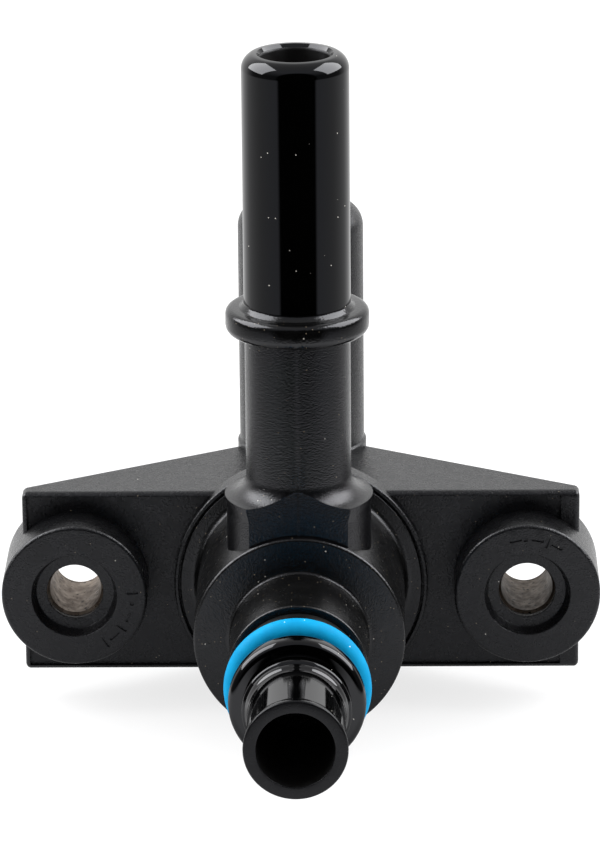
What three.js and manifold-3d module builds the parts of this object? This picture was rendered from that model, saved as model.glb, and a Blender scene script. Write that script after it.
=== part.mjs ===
// A flange-mounted plastic valve body with two pipe spigots, an O-ring spigot and two spring-loaded poppets.
//
// Millimetres, +Z up. The drum's axis runs along Y, with the inlet mouth at the front (-Y).
// While the pieces are made, the origin is on the drum's axis in the plane of the bracket's front face.
// The finished group is lifted so that Z 0 is the lowest point and Y 0 is half way from front to back.

import * as THREE from "three";
import { mergeVertices } from "three/addons/utils/BufferGeometryUtils.js";
import Module from "manifold-3d";

const wasm = await Module();
wasm.setup();

// ---------------------------------------------------------------- driving dimensions

const GAP = 0.3; // between pieces that rest on each other

// The three pipe connections.
const SPIGOT_R = 5.9; // glossy quick-connect end of the front pipe, for an 11.8 mm coupler
const SPIGOT_TOP_Z = 65.5;
const SPIGOT_BORE_R = 3.8;
const SPIGOT_Y = -12; // axis of the front pipe
const INLET_R = 5.6; // outside of the tube in front of the O-ring
const INLET_FRONT_Y = -51.7;
const INLET_BORE_R = 4.2;
const REAR_TUBE_R = 7.25;
const REAR_TUBE_TOP_Z = 40;
const REAR_TUBE_BORE_R = 5.2;
const REAR_TUBE_Y = 17.85; // axis of the rear tube

// The drum and what stands on it.
const DRUM_R = 11.8;
const DRUM_FRONT_Y = -18.7;
const NECK_R = 7.7;
const NECK_FRONT_Y = -28.9;
const FLANGE_R = 13.8;
const FLANGE_FRONT_Y = -1;
const FLANGE_BACK_Y = 0.4;
const CHAMBER_R = 9;
const CHAMBER_FRONT_Y = -17.4;
const COUNTERBORE_R = 6;
const COUNTERBORE_FRONT_Y = -27;
const SADDLE_R = 8.25;
const SADDLE_TOP_Z = 15;
const SADDLE_WALL_R = 7.9; // the wall under the saddle's shelf
const PIPE_R = 5.85; // matt lower part of the front pipe

// The bracket.
const BRACKET_HALF_WIDTH = 31.8;
const BRACKET_HALF_HEIGHT = 10.75;
const BRACKET_END_DEPTH = 2.4;
const COLUMN_R = 7.5;
const SOCKET_RIM_R = 14.5;
const SOCKET_R = FLANGE_R + GAP;
const SOCKET_FLOOR_Y = FLANGE_BACK_Y + GAP;
const EAR_X = 25.75; // half the distance between the two bolts
const EAR_R = 8.3;
const EAR_FRONT_Y = -4.8;
const EAR_BACK_Y = 6;
const EAR_PILOT_R = 5.4; // smaller ring round the bush behind the ear
const EAR_PILOT_BACK_Y = 8.6;
const BUSH_BORE_R = 2.95; // for an M5 bolt
const BUSH_R = 3.7;
const BUSH_FRONT_Y = EAR_FRONT_Y + 2.5;
const EAR_LIP_R = 3.2; // lip that hides the front of the bush

// Travel and seat positions of the two poppets.
const SEAT_BACK_Y = -20.5; // back face of the check valve's seat
const CHECK_HEAD_BACK_Y = -18.7;
const CAGE_FRONT_Y = -2.6;
const RELIEF_SEAT_TOP_Z = 12.6;
const RELIEF_HEAD_TOP_Z = 14.1;
const RELIEF_CAP_Z = 25;
const RELIEF_CAP_HEIGHT = 2.8;

// Sides round the large, middling and small turned pieces.
const LARGE = 48;
const MEDIUM = 32;
const SMALL = 24;

// ---------------------------------------------------------------- shape helpers

function orientedOutwards(positions, triangles) {
  const corner = (index) => new THREE.Vector3().fromArray(positions, 3 * index);
  let volume = 0;
  for (let i = 0; i < triangles.length; i += 3) {
    const [a, b, c] = triangles.slice(i, i + 3).map(corner);
    volume += a.dot(b.cross(c));
  }
  if (volume > 0) return triangles;
  const flipped = [];
  for (let i = 0; i < triangles.length; i += 3) {
    flipped.push(triangles[i], triangles[i + 2], triangles[i + 1]);
  }
  return flipped;
}

// A three.js geometry as a closed solid that can be joined and cut.
function solid(geometry) {
  geometry.deleteAttribute("normal");
  geometry.deleteAttribute("uv");
  const merged = mergeVertices(geometry, 1e-4);
  const positions = merged.attributes.position.array;
  const index = merged.index.array;
  const triangles = [];
  for (let i = 0; i < index.length; i += 3) {
    const [a, b, c] = [index[i], index[i + 1], index[i + 2]];
    if (a !== b && b !== c && c !== a) triangles.push(a, b, c);
  }
  return new wasm.Manifold(
    new wasm.Mesh({
      numProp: 3,
      vertProperties: new Float32Array(positions),
      triVerts: new Uint32Array(orientedOutwards(positions, triangles)),
    }),
  );
}

// A solid turned about an axis from points of [radius, distance along the axis].
// An outline that starts away from the axis is closed on itself, as a ring.
function turned(outline, axis = "y", sides = LARGE) {
  const closed = outline[0][0] > 0 ? [...outline, outline[0]] : outline;
  const points = closed.map(([radius, along]) => new THREE.Vector2(radius, along));
  const geometry = new THREE.LatheGeometry(points, sides);
  if (axis === "z") geometry.rotateX(Math.PI / 2);
  return solid(geometry);
}

function cylinder(radius, from, to, axis = "y", sides = LARGE) {
  const outline = [
    [0, from],
    [radius, from],
    [radius, to],
    [0, to],
  ];
  return turned(outline, axis, sides);
}

function ring(inner, outer, from, to, axis = "y", sides = LARGE) {
  const outline = [
    [inner, from],
    [outer, from],
    [outer, to],
    [inner, to],
  ];
  return turned(outline, axis, sides);
}

// A ring of round section.
function torus(radius, sectionRadius, along, axis = "y", sides = LARGE) {
  return turned(arc(radius, along, sectionRadius, 0, 360, 8).slice(1), axis, sides);
}

// Points of [radius, distance] on an arc, from one angle to the other, in degrees.
function arc(centreRadius, centreAlong, radius, fromAngle, toAngle, steps = 3) {
  const points = [];
  for (let i = 0; i <= steps; i += 1) {
    const angle = THREE.MathUtils.degToRad(fromAngle + ((toAngle - fromAngle) * i) / steps);
    points.push([centreRadius + radius * Math.cos(angle), centreAlong + radius * Math.sin(angle)]);
  }
  return points;
}

function box(lowX, highX, lowY, highY, lowZ, highZ) {
  const geometry = new THREE.BoxGeometry(highX - lowX, highY - lowY, highZ - lowZ);
  geometry.translate((lowX + highX) / 2, (lowY + highY) / 2, (lowZ + highZ) / 2);
  return solid(geometry);
}

// Spokes between two radii, spread evenly round an axis.
function spokes(count, innerR, outerR, width, from, to, axis) {
  let joined = null;
  for (let i = 0; i < count; i += 1) {
    const geometry = new THREE.BoxGeometry(width, to - from, outerR - innerR);
    geometry.translate(0, (from + to) / 2, (innerR + outerR) / 2);
    geometry.rotateY((i * 2 * Math.PI) / count);
    if (axis === "z") geometry.rotateX(Math.PI / 2);
    const spoke = solid(geometry);
    joined = joined ? joined.add(spoke) : spoke;
  }
  return joined;
}

class HelixCurve extends THREE.Curve {
  constructor(radius, length, turns) {
    super();
    this.radius = radius;
    this.length = length;
    this.turns = turns;
  }

  getPoint(t, target = new THREE.Vector3()) {
    const angle = t * this.turns * 2 * Math.PI;
    return target.set(this.radius * Math.cos(angle), this.radius * Math.sin(angle), this.length * t);
  }
}

// A compression spring along Z that fills the space between two heights.
function coilSpring(radius, wireR, from, to, turns) {
  const length = to - from - 2 * wireR;
  const section = new THREE.Shape().absarc(0, 0, wireR, 0, 2 * Math.PI);
  const geometry = new THREE.ExtrudeGeometry(section, {
    steps: turns * 10,
    curveSegments: 3,
    bevelEnabled: false,
    extrudePath: new HelixCurve(radius, length, turns),
  });
  geometry.translate(0, 0, from + wireR);
  return geometry;
}

// ---------------------------------------------------------------- front housing

// Outside of the inlet tube, O-ring groove, neck, drum and flange, from the inlet's mouth backwards.
function drumOutline() {
  return [
    [0, INLET_FRONT_Y],
    ...arc(INLET_R - 0.7, INLET_FRONT_Y + 0.7, 0.7, -90, 0),
    [INLET_R, -46],
    [INLET_R - 0.2, -45],
    [INLET_R - 0.2, -41.8],
    [6, -41.2],
    [6, -39.7],
    ...arc(6.55, -38.8, 0.9, -90, 0),
    ...arc(6.95, -36.1, 0.5, 0, 90, 2),
    [5.35, -35.6],
    [5.35, NECK_FRONT_Y],
    [NECK_R - 0.3, NECK_FRONT_Y],
    [NECK_R, NECK_FRONT_Y + 0.3],
    [NECK_R, DRUM_FRONT_Y - 0.4],
    [NECK_R + 0.4, DRUM_FRONT_Y],
    [DRUM_R - 0.4, DRUM_FRONT_Y],
    [DRUM_R, DRUM_FRONT_Y + 0.4],
    ...arc(DRUM_R + 0.8, FLANGE_FRONT_Y - 0.8, 0.8, 180, 90, 2),
    [FLANGE_R - 0.2, FLANGE_FRONT_Y],
    [FLANGE_R, FLANGE_FRONT_Y + 0.2],
    [FLANGE_R, FLANGE_BACK_Y],
    [0, FLANGE_BACK_Y],
  ];
}

// Outside of the saddle, front pipe, retaining bead and quick-connect end, from the drum upwards.
function pipeOutline() {
  const cove = SADDLE_R - PIPE_R;
  return [
    [0, 3],
    [SADDLE_WALL_R, 3],
    [SADDLE_WALL_R, SADDLE_TOP_Z - 1.4],
    [SADDLE_R, SADDLE_TOP_Z - 0.4],
    ...arc(SADDLE_R, SADDLE_TOP_Z + cove, cove, -90, -180, 4),
    [PIPE_R, 33.8],
    [7.7, 33.8],
    [7.95, 34],
    [7.95, 34.8],
    ...arc(6.75, 35.5, 1.25, 0, 90),
    [6.2, 36.8],
    [SPIGOT_R, 37.4],
    ...arc(SPIGOT_R - 1.8, SPIGOT_TOP_Z - 1.8, 1.8, 0, 70),
    [4.4, SPIGOT_TOP_Z],
    [0, SPIGOT_TOP_Z],
  ];
}

function frontHousing() {
  const drum = turned(drumOutline());
  const pipeFrontY = -PIPE_R - 0.05;
  const pipe = turned(pipeOutline(), "z", MEDIUM)
    .subtract(box(-12, 12, pipeFrontY - 6, pipeFrontY, 2, 20))
    .translate(0, SPIGOT_Y, 0);
  const inletPassage = turned([
    [0, INLET_FRONT_Y - 1],
    [INLET_BORE_R + 0.4, INLET_FRONT_Y - 1],
    [INLET_BORE_R + 0.4, INLET_FRONT_Y],
    [INLET_BORE_R, INLET_FRONT_Y + 0.4],
    [INLET_BORE_R, COUNTERBORE_FRONT_Y],
    [COUNTERBORE_R, COUNTERBORE_FRONT_Y],
    [COUNTERBORE_R, CHAMBER_FRONT_Y],
    [CHAMBER_R, CHAMBER_FRONT_Y],
    [CHAMBER_R, FLANGE_BACK_Y + 1],
    [0, FLANGE_BACK_Y + 1],
  ]);
  const outletPassage = turned(
    [
      [0, 4],
      [SPIGOT_BORE_R, 4],
      [SPIGOT_BORE_R, SPIGOT_TOP_Z - 0.4],
      [SPIGOT_BORE_R + 0.4, SPIGOT_TOP_Z],
      [SPIGOT_BORE_R + 0.4, SPIGOT_TOP_Z + 1],
      [0, SPIGOT_TOP_Z + 1],
    ],
    "z",
    SMALL,
  ).translate(0, SPIGOT_Y, 0);
  const sealGroove = ring(9.6, 11.2, FLANGE_BACK_Y - 1.4, FLANGE_BACK_Y + 1);
  return drum.add(pipe).subtract(inletPassage).subtract(outletPassage).subtract(sealGroove);
}

// ---------------------------------------------------------------- mounting bracket

function bracketPlate() {
  const back = REAR_TUBE_Y + 0.6;
  const plan = new THREE.Shape([
    new THREE.Vector2(-BRACKET_HALF_WIDTH, 0),
    new THREE.Vector2(BRACKET_HALF_WIDTH, 0),
    new THREE.Vector2(BRACKET_HALF_WIDTH, BRACKET_END_DEPTH),
    new THREE.Vector2(5, back),
    new THREE.Vector2(-5, back),
    new THREE.Vector2(-BRACKET_HALF_WIDTH, BRACKET_END_DEPTH),
  ]);
  const geometry = new THREE.ExtrudeGeometry(plan, {
    depth: 2 * BRACKET_HALF_HEIGHT,
    bevelEnabled: false,
  });
  geometry.translate(0, 0, -BRACKET_HALF_HEIGHT);
  return solid(geometry);
}

// The rear tube with its foot and the column under it, about the tube's own axis.
function rearTube() {
  return turned(
    [
      [0, -BRACKET_HALF_HEIGHT],
      [COLUMN_R, -BRACKET_HALF_HEIGHT],
      [COLUMN_R, BRACKET_HALF_HEIGHT + 0.5],
      [REAR_TUBE_R, BRACKET_HALF_HEIGHT + 0.8],
      ...arc(REAR_TUBE_R - 2.4, REAR_TUBE_TOP_Z - 2.4, 2.4, 0, 80),
      [5.6, REAR_TUBE_TOP_Z],
      [0, REAR_TUBE_TOP_Z],
    ],
    "z",
    MEDIUM,
  ).translate(0, REAR_TUBE_Y, 0);
}

// Socket, duct, riser, relief valve bore and snap ring groove.
function bracketPassage() {
  const duct = turned([
    [0, FLANGE_FRONT_Y - 5],
    [SOCKET_R, FLANGE_FRONT_Y - 5],
    [SOCKET_R, SOCKET_FLOOR_Y],
    [7.2, SOCKET_FLOOR_Y],
    [7.2, 6],
    [4.2, 9.2],
    [4.2, REAR_TUBE_Y],
    [0, REAR_TUBE_Y],
  ]);
  const riser = turned(
    [
      [0, -4.2],
      [4.2, -4.2],
      [4.2, 9.3],
      [REAR_TUBE_BORE_R, 9.3],
      [REAR_TUBE_BORE_R, 27.9],
      [5.9, 27.9],
      [5.9, 29.1],
      [REAR_TUBE_BORE_R, 29.1],
      [REAR_TUBE_BORE_R, REAR_TUBE_TOP_Z + 1],
      [0, REAR_TUBE_TOP_Z + 1],
    ],
    "z",
    MEDIUM,
  ).translate(0, REAR_TUBE_Y, 0);
  return duct.add(riser);
}

// One ear's boss, with the hole for its bush.
function earBoss(side) {
  return turned([
    [BUSH_R + GAP, BUSH_FRONT_Y - GAP],
    [EAR_LIP_R, BUSH_FRONT_Y - GAP],
    [EAR_LIP_R, EAR_FRONT_Y + 1.6],
    [4.4, EAR_FRONT_Y + 1.6],
    [4.4, EAR_FRONT_Y + 1],
    [4.85, EAR_FRONT_Y + 0.8],
    [4.85, EAR_FRONT_Y],
    [EAR_R - 0.3, EAR_FRONT_Y],
    [EAR_R, EAR_FRONT_Y + 0.3],
    [EAR_R, EAR_BACK_Y],
    [EAR_PILOT_R, EAR_BACK_Y],
    [EAR_PILOT_R, EAR_PILOT_BACK_Y],
    [BUSH_R + GAP, EAR_PILOT_BACK_Y],
  ]).translate(side * EAR_X, 0, 0);
}

// Pockets in the back, on either side of an upright rib, and the shallow recess in the front face.
function bracketPockets(side) {
  const pocketHalfHeight = BRACKET_HALF_HEIGHT - 2.3;
  const span = (low, high, lowY, highY, lowZ, highZ) =>
    box(Math.min(side * low, side * high), Math.max(side * low, side * high), lowY, highY, lowZ, highZ);
  const inner = span(9.2, 12.4, 4.2, 30, -pocketHalfHeight, pocketHalfHeight);
  const outer = span(13.8, 17, 4.2, 30, -pocketHalfHeight, pocketHalfHeight);
  const faceLimit = BRACKET_HALF_HEIGHT - 0.7;
  const face = span(8, BRACKET_HALF_WIDTH - 2.1, -0.5, 0.5, -faceLimit, faceLimit);
  return inner.add(outer).add(face);
}

function mountingBracket() {
  let bracket = bracketPlate().add(rearTube());
  for (const side of [-1, 1]) bracket = bracket.subtract(bracketPockets(side));
  bracket = bracket.add(cylinder(SOCKET_RIM_R, FLANGE_FRONT_Y, SOCKET_FLOOR_Y + 0.9));
  for (const side of [-1, 1]) {
    const boltSpace = cylinder(EAR_R, EAR_FRONT_Y - 1, REAR_TUBE_Y + 12).translate(side * EAR_X, 0, 0);
    bracket = bracket.subtract(boltSpace).add(earBoss(side));
  }
  const columnCore = cylinder(3.6, -BRACKET_HALF_HEIGHT - 1, -6.4, "z", SMALL).translate(0, REAR_TUBE_Y, 0);
  return bracket.subtract(bracketPassage()).subtract(columnCore);
}

// ---------------------------------------------------------------- seals, seats, poppets and springs

function inletStrainer() {
  const backY = COUNTERBORE_FRONT_Y + GAP + 0.7;
  const frontY = backY - 9.4;
  const basket = turned(
    [
      [0, frontY],
      [3.9, frontY],
      [3.9, backY - 0.7],
      [COUNTERBORE_R - GAP, backY - 0.7],
      [COUNTERBORE_R - GAP, backY],
      [3.2, backY],
      [3.2, frontY + 0.7],
      [0, frontY + 0.7],
    ],
    "y",
    SMALL,
  );
  let windows = spokes(6, 2.5, 5, 2, frontY + 1.4, frontY + 4.4, "y");
  windows = windows.add(spokes(6, 2.5, 5, 2, frontY + 5.2, frontY + 8.2, "y"));
  for (let i = 0; i < 6; i += 1) {
    const hole = cylinder(0.6, frontY - 1, frontY + 2, "y", 8).translate(2, 0, 0);
    windows = windows.add(hole.rotate(0, i * 60, 0));
  }
  return basket.subtract(windows);
}

// The check valve's seat, with its cone at the back and an O-ring groove round it.
function seatInsert() {
  const frontY = COUNTERBORE_FRONT_Y + 2 * GAP + 0.7;
  const outerR = COUNTERBORE_R - GAP;
  return turned(
    [
      [3.2, frontY],
      [outerR, frontY],
      [outerR, -24.3],
      [4.3, -24.3],
      [4.3, -22.7],
      [outerR, -22.7],
      [outerR, SEAT_BACK_Y],
      [4.6, SEAT_BACK_Y],
      [3.2, SEAT_BACK_Y - 1.8],
    ],
    "y",
    MEDIUM,
  );
}

function checkPoppet() {
  return turned(
    [
      [0, -23.5],
      [1.3, -23.5],
      [1.3, SEAT_BACK_Y + 0.6],
      [4.9, SEAT_BACK_Y + 0.6],
      [4.9, CHECK_HEAD_BACK_Y],
      [2.9, CHECK_HEAD_BACK_Y],
      [2.9, CHECK_HEAD_BACK_Y + 1.5],
      [1.6, CHECK_HEAD_BACK_Y + 1.5],
      [1.6, 2.6],
      [1.2, 3],
      [0, 3],
    ],
    "y",
    SMALL,
  );
}

function poppetSeal() {
  return turned(
    [
      [1.6, SEAT_BACK_Y - 1.5],
      [3.05, SEAT_BACK_Y - 1.5],
      [4.2, SEAT_BACK_Y - 0.02],
      [4.2, SEAT_BACK_Y + 0.3],
      [1.6, SEAT_BACK_Y + 0.3],
    ],
    "y",
    SMALL,
  );
}

// A hub on spokes in a ring, which guides a stem and takes a spring's thrust.
function springCage(hubR, hubBoreR, ringInnerR, ringR, from, to, hubFrom, axis) {
  const hub = cylinder(hubR, hubFrom, to, axis, SMALL);
  const rim = ring(ringInnerR, ringR, from, to, axis, MEDIUM);
  const arms = spokes(3, hubBoreR + 0.3, ringInnerR + 0.4, 1.6, from, to, axis);
  return hub.add(rim).add(arms).subtract(cylinder(hubBoreR, hubFrom - 1, to + 1, axis, SMALL));
}

function reliefSeat() {
  const outerR = REAR_TUBE_BORE_R - GAP;
  return turned(
    [
      [2.8, 9.6],
      [outerR, 9.6],
      [outerR, 10.4],
      [3.7, 10.4],
      [3.7, 11.8],
      [outerR, 11.8],
      [outerR, RELIEF_SEAT_TOP_Z],
      [3.4, RELIEF_SEAT_TOP_Z],
      [2.8, RELIEF_SEAT_TOP_Z - 0.6],
    ],
    "z",
    SMALL,
  );
}

function reliefPoppet() {
  return turned(
    [
      [0, RELIEF_SEAT_TOP_Z - 1.5],
      [1.9, RELIEF_SEAT_TOP_Z - 1.5],
      [1.9, RELIEF_SEAT_TOP_Z - 0.9],
      [1.2, RELIEF_SEAT_TOP_Z - 0.9],
      [1.2, RELIEF_SEAT_TOP_Z + GAP],
      [4, RELIEF_SEAT_TOP_Z + GAP],
      [4, RELIEF_HEAD_TOP_Z],
      [2, RELIEF_HEAD_TOP_Z],
      [2, RELIEF_HEAD_TOP_Z + 1],
      [1.3, RELIEF_HEAD_TOP_Z + 1],
      [1.3, 26.5],
      [0, 26.5],
    ],
    "z",
    SMALL,
  );
}

function reliefPoppetSeal() {
  return turned(
    [
      [1.5, RELIEF_SEAT_TOP_Z - 0.6],
      [2.4, RELIEF_SEAT_TOP_Z - 0.6],
      [2.95, RELIEF_SEAT_TOP_Z],
      [1.5, RELIEF_SEAT_TOP_Z],
    ],
    "z",
    SMALL,
  );
}

// An open ring with two eyes beside its gap.
function snapRing() {
  const low = RELIEF_CAP_Z + RELIEF_CAP_HEIGHT + GAP;
  const high = low + 0.8;
  let clip = ring(4.3, 5.6, low, high, "z", MEDIUM).subtract(box(-1.1, 1.1, 0, 7, low - 1, high + 1));
  for (const side of [-1, 1]) {
    const eye = ring(0.4, 1, low, high, "z", 12).translate(side * 2, 4.1, 0);
    const eyeHole = cylinder(0.4, low - 1, high + 1, "z", 12).translate(side * 2, 4.1, 0);
    clip = clip.subtract(eyeHole).add(eye);
  }
  return clip;
}

// ---------------------------------------------------------------- materials

function plastic(colour, roughness) {
  return new THREE.MeshStandardMaterial({ color: colour, roughness, metalness: 0 });
}

function metal(colour, roughness) {
  return new THREE.MeshStandardMaterial({ color: colour, roughness, metalness: 1 });
}

const BLACK_NYLON = plastic("#26282b", 0.6);
const SMOOTH_NYLON = plastic("#0c0d0e", 0.2);
const BLUE_RUBBER = plastic("#149be0", 0.45);
const BLACK_RUBBER = plastic("#141414", 0.7);
const PALE_ACETAL = plastic("#d9d8d0", 0.4);
const BUSH_STEEL = metal("#9b948b", 0.45);
const SPRING_STEEL = metal("#b8bcc0", 0.3);
const SEAT_BRASS = metal("#b79a56", 0.35);

// ---------------------------------------------------------------- assembly

const valve = new THREE.Group();

// The group's centre line and height above the surface that it stands on.
const FRONT_TO_BACK = [INLET_FRONT_Y, REAR_TUBE_Y + COLUMN_R];
valve.position.set(0, -(FRONT_TO_BACK[0] + FRONT_TO_BACK[1]) / 2, SOCKET_RIM_R);

function place(name, shape, material, position = [0, 0, 0], rotationX = 0) {
  let geometry = shape;
  if (!shape.isBufferGeometry) {
    const mesh = shape.getMesh();
    geometry = new THREE.BufferGeometry();
    geometry.setAttribute("position", new THREE.BufferAttribute(mesh.vertProperties, 3));
    geometry.setIndex(new THREE.BufferAttribute(mesh.triVerts, 1));
  }
  const piece = new THREE.Mesh(geometry, material);
  piece.name = name;
  piece.position.set(...position);
  piece.rotation.x = rotationX;
  valve.add(piece);
}

const REAR_AXIS = [0, REAR_TUBE_Y, 0];

place("mounting_bracket", mountingBracket(), BLACK_NYLON);
place("front_housing", frontHousing(), SMOOTH_NYLON);
for (const [name, side] of [["left_bush", -1], ["right_bush", 1]]) {
  const bush = turned(
    [
      [BUSH_BORE_R, BUSH_FRONT_Y],
      [BUSH_R, BUSH_FRONT_Y],
      [BUSH_R, EAR_PILOT_BACK_Y],
      [BUSH_BORE_R, EAR_PILOT_BACK_Y],
    ],
    "y",
    SMALL,
  );
  place(name, bush, BUSH_STEEL, [side * EAR_X, 0, 0]);
}

// The O-ring spigot.
place("inlet_o_ring", torus(6.85, 1.2, -33.7), BLUE_RUBBER);
place("backup_ring", ring(5.65, 7, -32.2, NECK_FRONT_Y - GAP), BLACK_RUBBER);
place("housing_seal", torus(10.4, 0.5, -0.1), BLACK_RUBBER);
place("inlet_strainer", inletStrainer(), BLACK_NYLON);

// The check valve in the drum.
place("seat_insert", seatInsert(), SEAT_BRASS);
place("seat_o_ring", torus(5.15, 0.5, -23.5, "y", MEDIUM), BLACK_RUBBER);
place("check_poppet", checkPoppet(), PALE_ACETAL);
place("poppet_seal", poppetSeal(), BLACK_RUBBER);
place("seal_retainer", ring(1.6, 2.6, -23.1, -22.3, "y", SMALL), SPRING_STEEL);
place("spring_cage", springCage(2.9, 1.9, 7.5, 8.7, CAGE_FRONT_Y, FLANGE_BACK_Y, -4, "y"), PALE_ACETAL);
const checkSpring = coilSpring(3.6, 0.35, GAP, CAGE_FRONT_Y - CHECK_HEAD_BACK_Y - GAP, 7);
place("check_spring", checkSpring, SPRING_STEEL, [0, CAGE_FRONT_Y, 0], Math.PI / 2);

// The relief valve in the rear tube.
place("relief_seat", reliefSeat(), SEAT_BRASS, REAR_AXIS);
place("relief_seat_o_ring", torus(4.45, 0.42, 11.1, "z", SMALL), BLACK_RUBBER, REAR_AXIS);
place("relief_poppet", reliefPoppet(), PALE_ACETAL, REAR_AXIS);
place("relief_poppet_seal", reliefPoppetSeal(), BLACK_RUBBER, REAR_AXIS);
const reliefSpring = coilSpring(2.65, 0.3, RELIEF_HEAD_TOP_Z + GAP, RELIEF_CAP_Z - GAP, 6);
place("relief_spring", reliefSpring, SPRING_STEEL, REAR_AXIS);
const capTop = RELIEF_CAP_Z + RELIEF_CAP_HEIGHT;
const reliefCap = springCage(3.2, 1.6, 4, 4.9, RELIEF_CAP_Z, capTop, RELIEF_CAP_Z, "z");
place("relief_spring_cap", reliefCap, PALE_ACETAL, REAR_AXIS);
place("relief_snap_ring", snapRing(), SPRING_STEEL, REAR_AXIS);

export default valve;
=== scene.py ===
"""The looks of a flange-mounted plastic valve body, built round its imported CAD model.

Outlines are in millimetres. Their origin is on the drum's axis, in the plane of the bracket's
front face, with the inlet at -Y and the pipes at +Z. new_piece() turns them into the frame's
metres.
"""

import math

import bmesh
import bpy
from mathutils import Matrix, Vector


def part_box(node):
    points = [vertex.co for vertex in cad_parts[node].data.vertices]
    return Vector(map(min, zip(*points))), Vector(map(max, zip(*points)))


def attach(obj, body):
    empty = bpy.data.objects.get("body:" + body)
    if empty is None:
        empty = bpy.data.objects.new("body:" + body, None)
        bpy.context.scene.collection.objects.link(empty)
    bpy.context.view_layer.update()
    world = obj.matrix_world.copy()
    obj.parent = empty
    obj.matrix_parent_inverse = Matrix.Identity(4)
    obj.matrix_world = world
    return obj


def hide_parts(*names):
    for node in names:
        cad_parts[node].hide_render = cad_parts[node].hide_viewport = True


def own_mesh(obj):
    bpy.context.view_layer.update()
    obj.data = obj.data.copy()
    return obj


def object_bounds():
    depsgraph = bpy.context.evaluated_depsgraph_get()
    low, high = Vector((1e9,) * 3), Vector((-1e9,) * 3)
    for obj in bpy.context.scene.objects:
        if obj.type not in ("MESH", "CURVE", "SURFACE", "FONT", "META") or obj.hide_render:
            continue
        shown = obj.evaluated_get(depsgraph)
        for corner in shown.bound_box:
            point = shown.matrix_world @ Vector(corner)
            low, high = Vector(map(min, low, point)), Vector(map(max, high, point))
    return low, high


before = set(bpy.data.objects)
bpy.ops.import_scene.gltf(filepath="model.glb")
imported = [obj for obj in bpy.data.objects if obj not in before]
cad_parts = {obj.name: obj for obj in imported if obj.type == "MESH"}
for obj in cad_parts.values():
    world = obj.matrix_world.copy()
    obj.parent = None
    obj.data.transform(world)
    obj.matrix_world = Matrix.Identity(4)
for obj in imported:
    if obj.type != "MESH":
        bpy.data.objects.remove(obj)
cad_low, cad_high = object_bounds()

MM = 0.001

# -------------------------------- driving dimensions, in millimetres

INLET_FRONT_Y = -51.7
HOUSING_FRONT_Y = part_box("front_housing")[0].y
RING_LOW, RING_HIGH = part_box("inlet_o_ring")
ORIGIN = Vector((0, HOUSING_FRONT_Y - INLET_FRONT_Y * MM, (RING_LOW.z + RING_HIGH.z) / 2))


def local_box(node):
    """Lowest and highest corner of a CAD node, in millimetres about the drum's axis."""
    return [(corner - ORIGIN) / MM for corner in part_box(node)]


housing_high = local_box("front_housing")[1]
bracket_low, bracket_high = local_box("mounting_bracket")
bush_low, bush_high = local_box("right_bush")
backup_low, backup_high = local_box("backup_ring")

FLANGE_R = 13.8
FLANGE_FRONT_Y = -1
FLANGE_BACK_Y = housing_high.y
SPIGOT_R = 5.9
SPIGOT_TOP_Z = housing_high.z
SPIGOT_BORE_R = 3.8
SPIGOT_Y = -12
PIPE_R = 5.85
BEAD_Z = 33.8
BEAD_TOP_Z = 36.7
BEAD_R = 7.95
BEAD_FINISH_Z = 33.6  # the bead's own finish starts here
GLOSS_FINISH_Z = 37.3  # and the glossy end of the pipe here
SEAM_HEIGHT = 0.1  # how far the moulding seam on the pipe stands proud
SADDLE_R = 8.25
SADDLE_TOP_Z = 15
SADDLE_WALL_R = 8.05  # the wall under the saddle's shelf
INLET_R = 5.6
INLET_BORE_R = 4.2
WAIST_R = 5.27  # the inlet tube between its lip and the collar
LAND_FRONT_Y = -39  # the land in front of the O-ring
LAND_BACK_Y = -36.1
LAND_R = 7.45
GROOVE_R = 5.35  # bottom of the groove that holds the O-ring and the backup ring
COLLAR_R = 5.95  # small collar in front of the land
DRUM_R = 11.8
DRUM_FRONT_Y = -18.7
NECK_R = 7.7
NECK_FRONT_Y = -28.9
CHAMBER_R = 9
CHAMBER_FRONT_Y = -17.4
COUNTERBORE_R = 6
COUNTERBORE_FRONT_Y = -27

HALF_WIDTH = 31.8
HALF_HEIGHT = 10.75
END_DEPTH = 2.4
END_RIM = {-1: 0.5, 1: 2.1}  # width of the raised rim at each end of the front face
COLUMN_R = 7.5
RIM_R = 14.5
SOCKET_R = 14.1
SOCKET_FLOOR_Y = 0.7
REAR_TUBE_R = 7.25
REAR_TUBE_TOP_Z = bracket_high.z
REAR_TUBE_BORE_R = 5.2
REAR_TUBE_Y = bracket_high.y - COLUMN_R
DRUM_AXIS, PIPE_AXIS, REAR_TUBE_AXIS = (0, 0, 0), (0, SPIGOT_Y, 0), (0, REAR_TUBE_Y, 0)
DUCT_R = 4.2  # the passage from the chamber to the rear tube
SNAP_GROOVE_R = 5.9
SNAP_GROOVE_Z = 27.9
SNAP_GROOVE_TOP_Z = 29.1
EAR_X = (bush_low.x + bush_high.x) / 2
EAR_R = 8.3
EAR_FRONT_Y = bracket_low.y
EAR_BACK_Y = 6
PILOT_R = 5.4
BUSH_R = (bush_high.x - bush_low.x) / 2
BUSH_BORE_R = 2.95
EAR_LIP_R = 3.2
COUNTERSINK_DEPTH = 1.6  # the sunk ring round each bush
MARK_R = 6.6  # where the mould marks lie on an ear's face
MARK_DEPTH = 0.22

SEAM_WELD = 0.004  # points nearer than this after a boolean are one point
FINE = 160  # sides round the large turned pieces
PLAIN = 96  # sides round the small ones

# -------------------------------- outlines


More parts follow.
